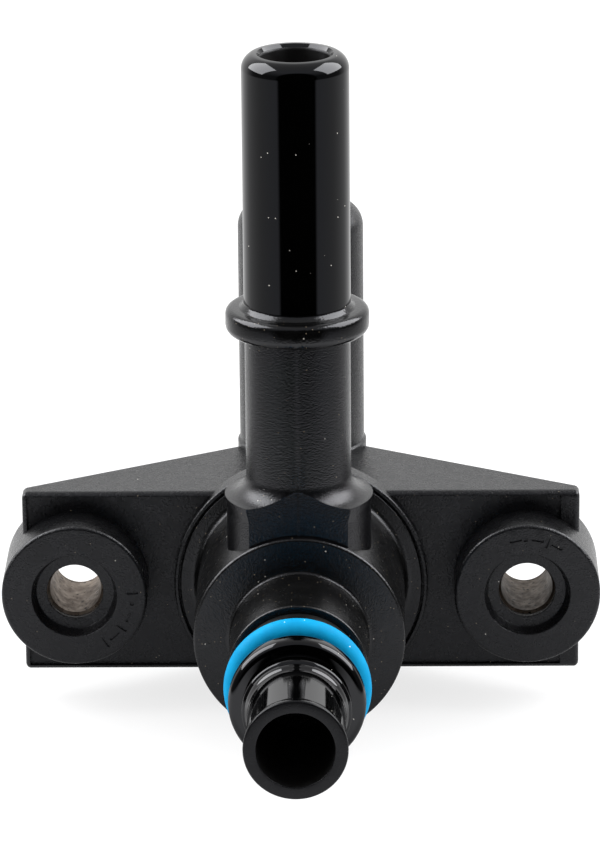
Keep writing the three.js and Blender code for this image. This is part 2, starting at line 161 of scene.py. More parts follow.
def arc(centre_r, centre_along, radius, start, end, steps=8):
    """Points (radius, distance along the axis) on an arc between two angles, in degrees."""
    points = []
    for i in range(steps + 1):
        angle = math.radians(start + (end - start) * i / steps)
        points.append((
            centre_r + radius * math.cos(angle),
            centre_along + radius * math.sin(angle),
        ))
    return points


def fillet(before, corner, after, radius, steps):
    """Points that round one corner of an outline. An almost straight corner stays one point."""
    a, b, c = Vector(before[:2]), Vector(corner[:2]), Vector(after[:2])
    to_a, to_c = a - b, c - b
    u, v = to_a.normalized(), to_c.normalized()
    half = u.angle(v, math.pi) / 2
    if radius <= 0 or half > math.radians(89):
        return [tuple(b)]
    reach = min(radius / math.tan(half), 0.48 * to_a.length, 0.48 * to_c.length)
    radius = reach * math.tan(half)
    centre = b + (u + v).normalized() * (radius / math.sin(half))
    start, end = b + u * reach - centre, b + v * reach - centre
    sweep = start.angle_signed(end)
    points = []
    for i in range(steps + 1):
        turn = Matrix.Rotation(-sweep * i / steps, 2)
        points.append(tuple(centre + turn @ start))
    return points


def rounded(corners, radius=0.12, steps=4, closed=None):
    """An outline with every corner rounded. A corner may have its own radius as third number.

    An outline that starts on the axis is open, and keeps its two ends sharp.
    """
    if closed is None:
        closed = corners[0][0] > 0
    points = []
    for i, corner in enumerate(corners):
        own = corner[2] if len(corner) > 2 else radius
        if not closed and i in (0, len(corners) - 1):
            points.append(tuple(corner[:2]))
            continue
        points += fillet(corners[i - 1], corner, corners[(i + 1) % len(corners)], own, steps)
    return points


# -------------------------------- mesh helpers


def new_piece(name, bm):
    """A mesh object from a bmesh in millimetres, in the frame's metres."""
    bmesh.ops.remove_doubles(bm, verts=bm.verts, dist=1e-5)
    bmesh.ops.recalc_face_normals(bm, faces=bm.faces)
    for vertex in bm.verts:
        vertex.co = ORIGIN + vertex.co * MM
    mesh = bpy.data.meshes.new(name)
    bm.to_mesh(mesh)
    bm.free()
    piece = bpy.data.objects.new(name, mesh)
    bpy.context.scene.collection.objects.link(piece)
    return piece


def turned(name, outline, axis="y", centre=DRUM_AXIS, sides=FINE, seam=None):
    """A solid turned about an axis.

    seam(along) gives how far a moulding seam at the front stands proud.
    """
    bm = bmesh.new()
    closed = outline[0][0] > 1e-6
    rings = []
    for radius, along in outline:
        count = sides if radius > 1e-6 else 1
        ring = []
        for i in range(count):
            angle = 2 * math.pi * i / sides - math.pi / 2
            r = radius + (seam(along) if seam and i == 0 else 0)
            across, up = r * math.cos(angle), r * math.sin(angle)
            place = (across, along, up) if axis == "y" else (across, up, along)
            ring.append(bm.verts.new(Vector(place) + Vector(centre)))
        rings.append(ring)
    for low, high in zip(rings, rings[1:] + (rings[:1] if closed else [])):
        for i in range(sides):
            j = (i + 1) % sides
            corners = dict.fromkeys((
                low[i % len(low)], low[j % len(low)], high[j % len(high)], high[i % len(high)],
            ))
            if len(corners) > 2:
                bm.faces.new(list(corners))
    return new_piece(name, bm)


def inset_corners(corners, distance):
    """A polygon's corners after each side has moved inwards. The corners run anticlockwise."""
    moved = []
    for i, corner in enumerate(corners):
        a, b, c = (Vector(p[:2]) for p in (corners[i - 1], corner, corners[(i + 1) % len(corners)]))
        n1 = Vector((a.y - b.y, b.x - a.x)).normalized()
        n2 = Vector((b.y - c.y, c.x - b.x)).normalized()
        shift = (n1 + n2) * (distance / (1 + n1.dot(n2)))
        own = corner[2] if len(corner) > 2 else 0.4
        moved.append((b.x + shift.x, b.y + shift.y, max(own - distance, 0.02)))
    return moved


def slab(name, corners, low, high, edge=0.4, steps=4):
    """A prism with rounded corners, and with its edges rounded at both ends."""
    layers = []
    for i in range(steps + 1):
        angle = math.radians(90) * i / steps
        layers.append((edge * (1 - math.sin(angle)), edge * (1 - math.cos(angle))))
    levels = [(inset, low + rise) for inset, rise in layers]
    levels += [(inset, high - rise) for inset, rise in reversed(layers)]
    bm = bmesh.new()
    rings = []
    for inset, height in levels:
        outline = rounded(inset_corners(corners, inset), steps=6, closed=True)
        rings.append([bm.verts.new((x, y, height)) for x, y in outline])
    for below, above in zip(rings, rings[1:]):
        for i in range(len(below)):
            j = (i + 1) % len(below)
            bm.faces.new([below[i], below[j], above[j], above[i]])
    bm.faces.new(rings[0])
    bm.faces.new(rings[-1])
    return new_piece(name, bm)


def block(low, high, edge=0.05):
    """A rectangular cutter, from its lowest to its highest corner."""
    (x0, y0, z0), (x1, y1, z1) = low, high
    corners = [(x0, y0, edge), (x1, y0, edge), (x1, y1, edge), (x0, y1, edge)]
    return slab("cutter", corners, z0, z1, edge=edge)


def combine(piece, other, operation):
    """Joins another solid to this one, or cuts it away."""
    modifier = piece.modifiers.new("join", "BOOLEAN")
    modifier.operation = operation
    modifier.solver = "EXACT"
    modifier.object = other
    bpy.context.view_layer.update()
    evaluated = piece.evaluated_get(bpy.context.evaluated_depsgraph_get())
    mesh = bpy.data.meshes.new_from_object(evaluated)
    piece.modifiers.clear()
    piece.data = mesh
    bpy.data.objects.remove(other)
    return piece


def join(piece, other):
    return combine(piece, other, "UNION")


def cut(piece, other):
    return combine(piece, other, "DIFFERENCE")


def weld(piece):
    """Merges the hair-thin faces that booleans leave along their seams."""
    bm = bmesh.new()
    bm.from_mesh(piece.data)
    bmesh.ops.remove_doubles(bm, verts=bm.verts, dist=SEAM_WELD * MM)
    bmesh.ops.dissolve_degenerate(bm, edges=bm.edges, dist=SEAM_WELD * MM)
    bmesh.ops.holes_fill(bm, edges=[edge for edge in bm.edges if edge.is_boundary], sides=6)
    loose = [vertex for vertex in bm.verts if not vertex.link_faces]
    bmesh.ops.delete(bm, geom=loose, context="VERTS")
    bm.to_mesh(piece.data)
    bm.free()
    return piece


def smooth(piece, angle=32):
    """Smooth shading between true edges, with flat faces kept flat."""
    piece.data.shade_smooth()
    piece.data.set_sharp_from_angle(angle=math.radians(angle))
    weighted = piece.modifiers.new("flat_faces", "WEIGHTED_NORMAL")
    weighted.keep_sharp = True
    bpy.context.view_layer.update()
    evaluated = piece.evaluated_get(bpy.context.evaluated_depsgraph_get())
    mesh = bpy.data.meshes.new_from_object(evaluated)
    piece.modifiers.clear()
    piece.data = mesh
    return piece


# -------------------------------- materials


class Nodes:
    """The nodes of a material or a world, made and linked by short calls."""

    def __init__(self, owner, place="Object"):
        owner.use_nodes = True
        self.owner = owner
        self.tree = owner.node_tree
        self.shader = self.tree.nodes.get("Principled BSDF")
        self.place = self.add("ShaderNodeTexCoord").outputs[place]

    def add(self, kind, **settings):
        node = self.tree.nodes.new(kind)
        for key, value in settings.items():
            setattr(node, key, value)
        return node

    def link(self, output, node, socket):
        self.tree.links.new(output, node.inputs[socket])

    def scaled(self, size, offset):
        """The place, with a size in millimetres as its unit."""
        mapping = self.add("ShaderNodeMapping")
        mapping.inputs["Scale"].default_value = [1 / (size * MM)] * 3
        mapping.inputs["Location"].default_value = (offset, offset, offset)
        self.link(self.place, mapping, "Vector")
        return mapping.outputs["Vector"]

    def noise(self, size, detail, offset=0.0):
        """Noise with features of a size in millimetres."""
        texture = self.add("ShaderNodeTexNoise")
        texture.inputs["Scale"].default_value = 1
        texture.inputs["Detail"].default_value = detail
        self.link(self.scaled(size, offset), texture, "Vector")
        return texture.outputs["Fac"]

    def mapped(self, value, low, high, to_low, to_high):
        node = self.add("ShaderNodeMapRange")
        sockets = ("From Min", "From Max", "To Min", "To Max")
        for socket, number in zip(sockets, (low, high, to_low, to_high)):
            node.inputs[socket].default_value = number
        self.link(value, node, "Value")
        return node.outputs["Result"]

    def product(self, a, b):
        node = self.add("ShaderNodeMath", operation="MULTIPLY")
        self.link(a, node, 0)
        self.link(b, node, 1)
        return node.outputs["Value"]

    def mix(self, factor, colour_a, colour_b):
        node = self.add("ShaderNodeMix", data_type="RGBA")
        self.link(factor, node, "Factor")
        for slot, colour in ((6, colour_a), (7, colour_b)):
            if isinstance(colour, tuple):
                node.inputs[slot].default_value = (*colour, 1)
            else:
                self.link(colour, node, slot)
        return node.outputs[2]

    def specks(self, cell, size, share, offset=0.0):
        """A mask of small round specks, in a share of the cells. Sizes are in millimetres."""
        cells = self.add("ShaderNodeTexVoronoi")
        cells.inputs["Scale"].default_value = 1
        self.link(self.scaled(cell, offset), cells, "Vector")
        near = self.mapped(cells.outputs["Distance"], size / cell, 0.6 * size / cell, 0, 1)
        split = self.add("ShaderNodeSeparateColor")
        self.link(cells.outputs["Color"], split, "Color")
        chosen = self.add("ShaderNodeMath", operation="LESS_THAN")
        self.link(split.outputs["Red"], chosen, 0)
        chosen.inputs[1].default_value = share
        return self.product(near, chosen.outputs["Value"])

    def clouded(self, base, colour, size, detail, low, high, offset=0.0, most=1):
        """A base colour with clouds of another colour, of a size in millimetres."""
        cloud = self.noise(size, detail, offset=offset)
        return self.mix(self.mapped(cloud, low, high, 0, most), base, colour)

    def cloudy_gloss(self, smooth, rough, size, detail, offset):
        """Roughness that drifts between two values."""
        cloud = self.noise(size, detail, offset=offset)
        self.link(self.mapped(cloud, 0.3, 0.7, smooth, rough), self.shader, "Roughness")

    def bump(self, height, strength, depth):
        """Relief of a depth in millimetres."""
        node = self.add("ShaderNodeBump")
        node.inputs["Strength"].default_value = strength
        node.inputs["Distance"].default_value = depth * MM
        self.link(height, node, "Height")
        self.link(node.outputs["Normal"], self.shader, "Normal")


def linear(red, green, blue):
    """A colour from 0-255 display values."""
    def one(value):
        value /= 255
        return value / 12.92 if value <= 0.04045 else ((value + 0.055) / 1.055) ** 2.4
    return (one(red), one(green), one(blue))


def nylon(name, colour, roughness, grain, relief, mottle=0.35, dust=0.03, flecks_and_glints=0.0, shine=0.5):
    """Black moulded nylon: fine grain, cloudy colour and gloss, pale dust, and brown flecks that
    also stand in for the grain's glints as painted highlights.

    grain is the size of the grain and relief its depth, in millimetres.
    """
    n = Nodes(bpy.data.materials.new(name))
    dark = linear(*colour)
    paler = tuple(c * (1 + 2.2 * mottle) for c in dark)
    fibre = tuple(c * 2 for c in dark)
    base = n.clouded(dark, paler, 2.6, 5, 0.35, 0.68)
    base = n.clouded(base, fibre, 0.55, 3, 0.55, 0.8, offset=7.0, most=0.35)
    # Pale brown flecks. They also stand in for the grain's glints, as painted highlights.
    if flecks_and_glints:
        base = n.mix(n.specks(0.35, 0.06, flecks_and_glints, offset=2.0), base, linear(128, 116, 98))
    base = n.mix(n.specks(0.75, 0.085, dust), base, linear(190, 186, 178))
    n.link(base, n.shader, "Base Color")
    n.cloudy_gloss(roughness * 0.86, roughness * 1.16, 1.1, 4, 3.0)
    n.shader.inputs["IOR"].default_value = 1.5
    n.shader.inputs["Specular IOR Level"].default_value = shine
    n.shader.inputs["Specular Tint"].default_value = (0.94, 0.95, 1, 1)
    n.bump(n.noise(grain, 2, offset=11.0), 1, relief)
    return n.owner


def rubber(name, colour, roughness, edge_colour, shine, dust):
    """Smooth rubber with a faint cloud, pale rubbed patches and pale specks: a little dust, and on
    the blue ring painted glints as well.
    """
    n = Nodes(bpy.data.materials.new(name))
    base = n.clouded(linear(*colour), linear(*edge_colour), 1.8, 4, 0.35, 0.7)
    # Pale specks: dust, and on the blue ring painted glints too.
    base = n.mix(n.specks(0.7, 0.08, dust, offset=5.0), base, linear(225, 240, 248))
    n.link(base, n.shader, "Base Color")
    n.cloudy_gloss(roughness * 0.85, roughness * 1.2, 0.9, 3, 2.0)
    n.shader.inputs["Specular IOR Level"].default_value = shine
    n.bump(n.noise(0.25, 2, offset=9.0), 0.25, 0.004)
    return n.owner


def worn_steel(name, light, dark):
    """Tumbled steel with warm stains, dark pits and a grainy surface."""
    n = Nodes(bpy.data.materials.new(name))
    base = n.clouded(linear(*light), linear(*dark), 1.6, 3, 0.35, 0.66)
    base = n.clouded(base, linear(56, 46, 40), 0.5, 4, 0.56, 0.74, offset=4.0, most=0.6)
    base = n.mix(n.specks(0.62, 0.2, 0.35, offset=1.0), base, linear(14, 10, 8))
    base = n.mix(n.specks(0.4, 0.1, 0.4, offset=5.0), base, linear(26, 21, 17))
    n.link(base, n.shader, "Base Color")
    n.shader.inputs["Metallic"].default_value = 1
    n.cloudy_gloss(0.42, 0.62, 0.6, 4, 6.0)
    n.bump(n.noise(0.14, 3, offset=8.0), 0.6, 0.012)
    return n.owner


def clean_metal(name, colour, stain, roughness):
    """Turned or drawn metal with fine marks and faint stains."""
    n = Nodes(bpy.data.materials.new(name))
    base = n.clouded(linear(*colour), linear(*stain), 1.2, 4, 0.4, 0.75)
    n.link(base, n.shader, "Base Color")
    n.shader.inputs["Metallic"].default_value = 1
    n.cloudy_gloss(roughness * 0.8, roughness * 1.3, 0.4, 3, 3.0)
    n.bump(n.noise(0.12, 2, offset=5.0), 0.3, 0.003)
    return n.owner


def acetal(name):
    """Off-white acetal with a soft sheen."""
    n = Nodes(bpy.data.materials.new(name))
    base = n.clouded(linear(222, 220, 210), linear(204, 200, 188), 2.2, 4, 0.35, 0.7)
    base = n.mix(n.specks(0.9, 0.07, 0.08), base, linear(120, 112, 98))
    n.link(base, n.shader, "Base Color")
    n.cloudy_gloss(0.32, 0.48, 0.8, 3, 2.0)
    n.shader.inputs["Subsurface Weight"].default_value = 0.15
    n.shader.inputs["Subsurface Radius"].default_value = (0.001, 0.0009, 0.0007)
    n.bump(n.noise(0.2, 2, offset=5.0), 0.25, 0.004)
    return n.owner


MATT_NYLON = nylon("matt_nylon", (7, 7, 8), 0.27, grain=0.17, relief=0.06, flecks_and_glints=0.03)
LEATHER_NYLON = nylon("leather_nylon", (4, 4, 5), 0.22, grain=0.18, relief=0.042, flecks_and_glints=0.04)
SATIN_NYLON = nylon(
    "satin_nylon", (5, 5, 5), 0.24, grain=0.17, relief=0.036, dust=0.06, flecks_and_glints=0.12,
)
BEAD_NYLON = nylon("bead_nylon", (4, 4, 4), 0.13, grain=0.22, relief=0.02, dust=0.1, flecks_and_glints=0.12)
GLOSS_NYLON = nylon(
    "gloss_nylon", (1, 1, 1), 0.06, grain=0.9, relief=0.0008, mottle=0.05, dust=0.13,
)
LIP_NYLON = nylon(
    "lip_nylon", (6, 6, 7), 0.28, grain=0.2, relief=0.012, mottle=0.15, dust=0.05, shine=0.3,
)
BORE_NYLON = nylon("bore_nylon", (5, 4, 3), 0.45, grain=0.3, relief=0.01, mottle=0.2, dust=0.0)
# The blue ring's many pale specks are dust and painted glints.
BLUE_RUBBER = rubber("blue_rubber", (0, 132, 181), 0.6, (0, 146, 196), 0.1, 0.2)
BLACK_RUBBER = rubber("black_rubber", (4, 4, 4), 0.4, (7, 7, 7), 0.25, 0.03)
BUSH_STEEL = worn_steel("bush_steel", (156, 144, 132), (114, 100, 88))
# A darker copy of the bush steel: painted shade for the right bush.
SHADED_BUSH_STEEL = worn_steel("shaded_bush_steel", (104, 94, 84), (66, 56, 47))
BRASS = clean_metal("brass", (196, 160, 92), (150, 112, 58), 0.3)
SPRING_STEEL = clean_metal("spring_steel", (190, 192, 196), (140, 138, 134), 0.26)
ACETAL = acetal("acetal")


def paint(piece, *materials):
    piece.data.materials.clear()
    for material in materials:
        piece.data.materials.append(material)


def paint_zones(piece, materials, zone_of):
    """Gives each face the material whose number zone_of returns for its centre, in millimetres."""
    paint(piece, *materials)
    for face in piece.data.polygons:
        face.material_index = zone_of((Vector(face.center) - ORIGIN) / MM)


# -------------------------------- front housing


def swell(start, end, from_r, to_r, steps=12):
    """Points along a smooth change of radius, level at both ends, each left unrounded."""
    points = []
    for i in range(steps + 1):
        share = (1 - math.cos(math.pi * i / steps)) / 2
        points.append((from_r + (to_r - from_r) * share, start + (end - start) * i / steps, 0))
    return points


def drum_outline():
    """Lip, inlet tube, collar, land, O-ring groove, neck, drum and flange, and the inlet's bore."""
    lip_back = INLET_FRONT_Y + 0.5
    return rounded([
        (INLET_BORE_R, INLET_FRONT_Y, 0.12),
        (INLET_R, INLET_FRONT_Y, 0.25),
        *swell(lip_back, lip_back + 1.3, INLET_R - 0.01, WAIST_R),
        *swell(-42.3, -40.9, WAIST_R + 0.03, COLLAR_R - 0.3),
        (COLLAR_R, -40.7, 0.5),
        (COLLAR_R, LAND_FRONT_Y - 0.4, 0.4),
        (COLLAR_R - 0.3, LAND_FRONT_Y, 0.1),
        (LAND_R, LAND_FRONT_Y, 1.3),
        (LAND_R, LAND_BACK_Y, 1),
        (GROOVE_R, LAND_BACK_Y, 0.2),
        (GROOVE_R, NECK_FRONT_Y, 0.2),
        (NECK_R, NECK_FRONT_Y, 0.25),
        (NECK_R, DRUM_FRONT_Y, 0.5),
        (DRUM_R, DRUM_FRONT_Y, 0.35),
        (DRUM_R, FLANGE_FRONT_Y, 0.9),
        (FLANGE_R, FLANGE_FRONT_Y, 0.2),
        (FLANGE_R, FLANGE_BACK_Y, 0.1),
        (0, FLANGE_BACK_Y, 0),
        (0, COUNTERBORE_FRONT_Y - 1, 0),
        (INLET_BORE_R, COUNTERBORE_FRONT_Y - 1, 0),
    ])


def pipe_outline():
    """The round saddle, a cove up to the pipe, the bead and the pipe's glossy end."""
    cove = SADDLE_R - PIPE_R
    return (
        rounded([
            (0, 3),
            (SADDLE_WALL_R, 3),
            (SADDLE_WALL_R, SADDLE_TOP_Z - 1.6, 1.2),
            (SADDLE_R, SADDLE_TOP_Z - 0.3, 0.15),
        ])
        + arc(SADDLE_R, SADDLE_TOP_Z + cove, cove, -90, -180, 12)
        + rounded([
            (PIPE_R, 20),
            (PIPE_R, BEAD_Z, 0.25),
            (BEAD_R, BEAD_Z, 1.15),
            (BEAD_R, BEAD_TOP_Z, 1.4),
            (6.4, BEAD_TOP_Z, 0.25),
            (SPIGOT_R, BEAD_TOP_Z + 0.5, 0.4),
            (SPIGOT_R, 60),
        ], closed=False)
        + arc(SPIGOT_R - 1.8, SPIGOT_TOP_Z - 1.8, 1.8, 0, 70, 12)
        + [(0, SPIGOT_TOP_Z)]
    )


def seam_height(along):
    """The moulding seam runs up the front of the matt part of the pipe and over the bead."""
    return SEAM_HEIGHT if 17.4 < along < 36 else 0


def inner_passage():
    """The counterbore and the chamber behind the inlet's bore."""
    return turned("cutter", rounded([
        (0, COUNTERBORE_FRONT_Y - 1.2),
        (INLET_BORE_R - 0.04, COUNTERBORE_FRONT_Y - 1.2),
        (INLET_BORE_R - 0.04, COUNTERBORE_FRONT_Y),
        (COUNTERBORE_R, COUNTERBORE_FRONT_Y),
        (COUNTERBORE_R, CHAMBER_FRONT_Y),
        (CHAMBER_R, CHAMBER_FRONT_Y),
        (CHAMBER_R, FLANGE_BACK_Y + 1),
        (0, FLANGE_BACK_Y + 1),
    ]))


def outlet_passage():
    """The pipe's bore, with a widened mouth."""
    return turned("cutter", rounded([
        (0, 4),
        (SPIGOT_BORE_R, 4),
        (SPIGOT_BORE_R, SPIGOT_TOP_Z - 0.6, 0.5),
        (SPIGOT_BORE_R + 0.5, SPIGOT_TOP_Z + 0.02, 0.3),
        (SPIGOT_BORE_R + 0.6, SPIGOT_TOP_Z + 1),
        (0, SPIGOT_TOP_Z + 1),
    ]), "z", PIPE_AXIS, PLAIN)


SATIN, LEATHER, GLOSS, LIP, BORE, BEAD = range(6)
HOUSING_FINISHES = (SATIN_NYLON, LEATHER_NYLON, GLOSS_NYLON, LIP_NYLON, BORE_NYLON, BEAD_NYLON)


def housing_zone(place):
    """Which of the housing's finishes a place has."""
    from_pipe_axis = math.hypot(place.x, place.y - SPIGOT_Y)
    from_drum_axis = math.hypot(place.x, place.z)
    if place.z > 20 and from_pipe_axis < SPIGOT_BORE_R + 0.2:
        return BORE
    if place.z > GLOSS_FINISH_Z:
        return GLOSS
    if place.z > BEAD_FINISH_Z:
        return BEAD
    if place.y < INLET_FRONT_Y + 0.3:
        return LIP
    if from_drum_axis < INLET_BORE_R + 0.1 and place.y < CHAMBER_FRONT_Y:
        return BORE
    if place.y < LAND_BACK_Y + 0.3:
        return GLOSS
    if place.z > 8 and place.y > DRUM_FRONT_Y + 0.3 and from_pipe_axis < SADDLE_R + 0.3:
        return LEATHER
    return SATIN


def front_housing():
    """The drum and the pipe, with the pipe's flat and seam, the bores and the seal groove."""
    housing = turned("moulded_housing", drum_outline())
    pipe = turned("pipe", pipe_outline(), "z", PIPE_AXIS, FINE, seam_height)
    flat_y = SPIGOT_Y - PIPE_R - 0.05
    cut(pipe, block((-12, flat_y - 6, -1), (12, flat_y, 20)))
    flat_seam = block((-0.1, flat_y - 0.09, 8), (0.1, flat_y + 0.4, 17.6), edge=0.04)
    join(pipe, flat_seam)
    join(housing, pipe)
    cut(housing, inner_passage())
    cut(housing, outlet_passage())
    seal_groove = turned("cutter", [
        (9.6, FLANGE_BACK_Y - 1.4),
        (11.2, FLANGE_BACK_Y - 1.4),
        (11.2, FLANGE_BACK_Y + 1),
        (9.6, FLANGE_BACK_Y + 1),
    ])
    cut(housing, seal_groove)
    smooth(weld(housing))
    paint_zones(housing, HOUSING_FINISHES, housing_zone)
    return housing


# -------------------------------- mounting bracket


def bracket_plate():
    """The wedge-shaped plate, thickest in the middle, where it meets the rear tube."""
    back = REAR_TUBE_Y + 0.6
    return slab("moulded_bracket", [
        (-HALF_WIDTH, 0, 0.5),
        (HALF_WIDTH, 0, 0.5),
        (HALF_WIDTH, END_DEPTH, 0.6),
        (5, back, 1),
        (-5, back, 1),
        (-HALF_WIDTH, END_DEPTH, 0.6),
    ], -HALF_HEIGHT, HALF_HEIGHT, edge=0.7)


def rear_tube():
    """The thicker column at the back of the plate and the tube on it, with a well rounded top."""
    return turned("tube", rounded([
        (0, -HALF_HEIGHT),
        (COLUMN_R, -HALF_HEIGHT, 0.4),
        (COLUMN_R, HALF_HEIGHT + 0.6, 0.25),
        (REAR_TUBE_R, HALF_HEIGHT + 0.8, 0.25),
        (REAR_TUBE_R, 30),
    ]) + arc(REAR_TUBE_R - 2.8, REAR_TUBE_TOP_Z - 2.8, 2.8, 0, 72, 10) + [
        (5.25, REAR_TUBE_TOP_Z),
        (0, REAR_TUBE_TOP_Z),
    ], "z", REAR_TUBE_AXIS, PLAIN)


def bracket_passage():
    """The socket for the drum's flange, the duct behind it and the rear tube's bore."""
    duct = turned("cutter", [
        (0, FLANGE_FRONT_Y - 5),
        (SOCKET_R, FLANGE_FRONT_Y - 5),
        (SOCKET_R, SOCKET_FLOOR_Y),
        (7.2, SOCKET_FLOOR_Y),
        (7.2, 6),
        (DUCT_R, 9.2),
        (DUCT_R, REAR_TUBE_Y),
        (0, REAR_TUBE_Y),
    ])
    riser = turned("cutter_riser", rounded([
        (0, -DUCT_R),
        (DUCT_R, -DUCT_R),
        (DUCT_R, 9.3),
        (REAR_TUBE_BORE_R, 9.3),
        (REAR_TUBE_BORE_R, SNAP_GROOVE_Z),
        (SNAP_GROOVE_R, SNAP_GROOVE_Z),
        (SNAP_GROOVE_R, SNAP_GROOVE_TOP_Z),
        (REAR_TUBE_BORE_R, SNAP_GROOVE_TOP_Z),
        (REAR_TUBE_BORE_R, REAR_TUBE_TOP_Z - 0.5, 0.3),
        (REAR_TUBE_BORE_R + 0.5, REAR_TUBE_TOP_Z + 0.02, 0.2),
        (REAR_TUBE_BORE_R + 0.6, REAR_TUBE_TOP_Z + 1),
        (0, REAR_TUBE_TOP_Z + 1),
    ]), "z", REAR_TUBE_AXIS, PLAIN)
    return join(duct, riser)


def ear_boss(side):
    """A boss with its bush's bore, the sunk ring in its face and a smaller ring behind."""
    front = EAR_FRONT_Y
    bore = BUSH_R + 0.05
    return turned("ear", rounded([
        (bore, bush_low.y - 0.05),
        (EAR_LIP_R, bush_low.y - 0.05, 0.1),
        (EAR_LIP_R, front + COUNTERSINK_DEPTH, 0.1),
        (4.42, front + COUNTERSINK_DEPTH, 0.15),
        (4.88, front, 0.1),
        (EAR_R, front, 0.4),
        (EAR_R, EAR_BACK_Y, 0.3),
        (PILOT_R, EAR_BACK_Y, 0.2),
        (PILOT_R, bush_high.y, 0.2),
        (bore, bush_high.y, 0.1),
    ]), centre=(side * EAR_X, 0, 0), sides=128)


def pockets(side):
    """Pockets in the back, on either side of an upright rib, and the front face's recess."""
    half = HALF_HEIGHT - 2.3

    def between(near, far, low_y, high_y, reach, edge=0.3):
        low_x, high_x = sorted((side * near, side * far))
        return block((low_x, low_y, -reach), (high_x, high_y, reach), edge=edge)

    return [
        between(9.2, 12.4, 4.2, 30, half),
        between(13.8, 17, 4.2, 30, half),
        between(8, HALF_WIDTH - END_RIM[side], -0.5, 0.5, HALF_HEIGHT - 0.5, 0.02),
    ]


def mounting_bracket():
    """The plate with its rear tube, pockets, flange rim, ears, passages and mould marks."""
    bracket = bracket_plate()
    join(bracket, rear_tube())
    for side in (-1, 1):
        for pocket in pockets(side):
            cut(bracket, pocket)
    join(bracket, turned("rim", rounded([
        (0, FLANGE_FRONT_Y),
        (RIM_R, FLANGE_FRONT_Y, 0.25),
        (RIM_R, SOCKET_FLOOR_Y + 0.9, 0.25),
        (0, SOCKET_FLOOR_Y + 0.9),
    ])))
    for side in (-1, 1):
        bolt_space = turned("cutter", [
            (0, EAR_FRONT_Y - 1), (EAR_R - 0.02, EAR_FRONT_Y - 1), (EAR_R - 0.02, 30), (0, 30),
        ], centre=(side * EAR_X, 0, 0), sides=128)
        cut(bracket, bolt_space)
        join(bracket, ear_boss(side))
    cut(bracket, bracket_passage())
    foot_recess = turned("cutter", [
        (0, -HALF_HEIGHT - 1), (3.6, -HALF_HEIGHT - 1), (3.6, -6.4), (0, -6.4),
    ], "z", REAR_TUBE_AXIS, PLAIN)
    cut(bracket, foot_recess)
    cut(bracket, mark_cutter())
    smooth(weld(bracket))
    paint(bracket, MATT_NYLON)
    return bracket


def mark_cutter():
    """Plain bars and dots sunk in the ears' faces, where a mould has its cavity marks."""
    wide, tall, dot = (1.3, 0.3), (0.3, 1.4), (0.45, 0.45)
    left = zip((-58, -47, -36, -22, -8, 3), (wide, tall, wide, tall, dot, wide))
    right = zip((60, 70, 80, 92, 102), (tall, wide, tall, dot, tall))
    cutter = None
    for side, marks in ((-1, left), (1, right)):
        for angle, (length, height) in marks:
            bar = block(
                (-length / 2, EAR_FRONT_Y - 0.5, -height / 2),
                (length / 2, EAR_FRONT_Y + MARK_DEPTH, height / 2),
            )
            turn = Matrix.Rotation(math.radians(-angle), 4, "Y")
            ear = Matrix.Translation((side * EAR_X, 0, 0))
            place = ear @ turn @ Matrix.Translation((MARK_R, 0, 0))
            for vertex in bar.data.vertices:
                vertex.co = ORIGIN + place @ ((vertex.co - ORIGIN) / MM) * MM
            cutter = join(cutter, bar) if cutter else bar
    return cutter


# -------------------------------- bushes, seals and springs


def bush(side):
    """A steel bush, chamfered and finely grooved at its back end. The right one takes a darker copy
    of the steel, as painted shade.
    """
    front, back = bush_low.y, bush_high.y
    piece = turned("turned_right_bush" if side > 0 else "turned_left_bush", rounded([
        (BUSH_BORE_R + 0.25, front, 0.08),
        (BUSH_R, front, 0.15),
        (BUSH_R, back - 0.02, 0.15),
        (BUSH_BORE_R + 0.35, back - 0.02, 0.08),
        (BUSH_BORE_R, back - 0.55, 0.05),
        (BUSH_BORE_R, back - 0.75, 0.05),
        (BUSH_BORE_R + 0.06, back - 0.8, 0.02),
        (BUSH_BORE_R, back - 0.9, 0.05),
        (BUSH_BORE_R, front + 0.3, 0.1),
    ]), centre=(side * EAR_X, 0, 0), sides=PLAIN)
    smooth(piece)
    paint(piece, SHADED_BUSH_STEEL if side > 0 else BUSH_STEEL)
    return piece


def o_ring(name, node, material, axis="y", centre=DRUM_AXIS):
    """A ring of round section that fills a CAD node's box."""
    low, high = local_box(node)
    section = (high.y - low.y) / 2 if axis == "y" else (high.z - low.z) / 2
    along = (high.y + low.y) / 2 if axis == "y" else (high.z + low.z) / 2
    radius = (high.x - low.x) / 2 - section
    piece = turned(name, arc(radius, along, section, 0, 360, 36)[1:], axis, centre)
    smooth(piece, 60)
    paint(piece, material)
    return piece


def backup_ring():
    """The black ring behind the blue O-ring."""
    piece = turned("split_backup_ring", rounded([
        (5.65, backup_low.y, 0.2),
        (7, backup_low.y, 0.15),
        (7, backup_high.y, 0.15),
        (5.65, backup_high.y, 0.2),
    ]), sides=PLAIN)
    smooth(piece)
    paint(piece, BLACK_RUBBER)
    return piece


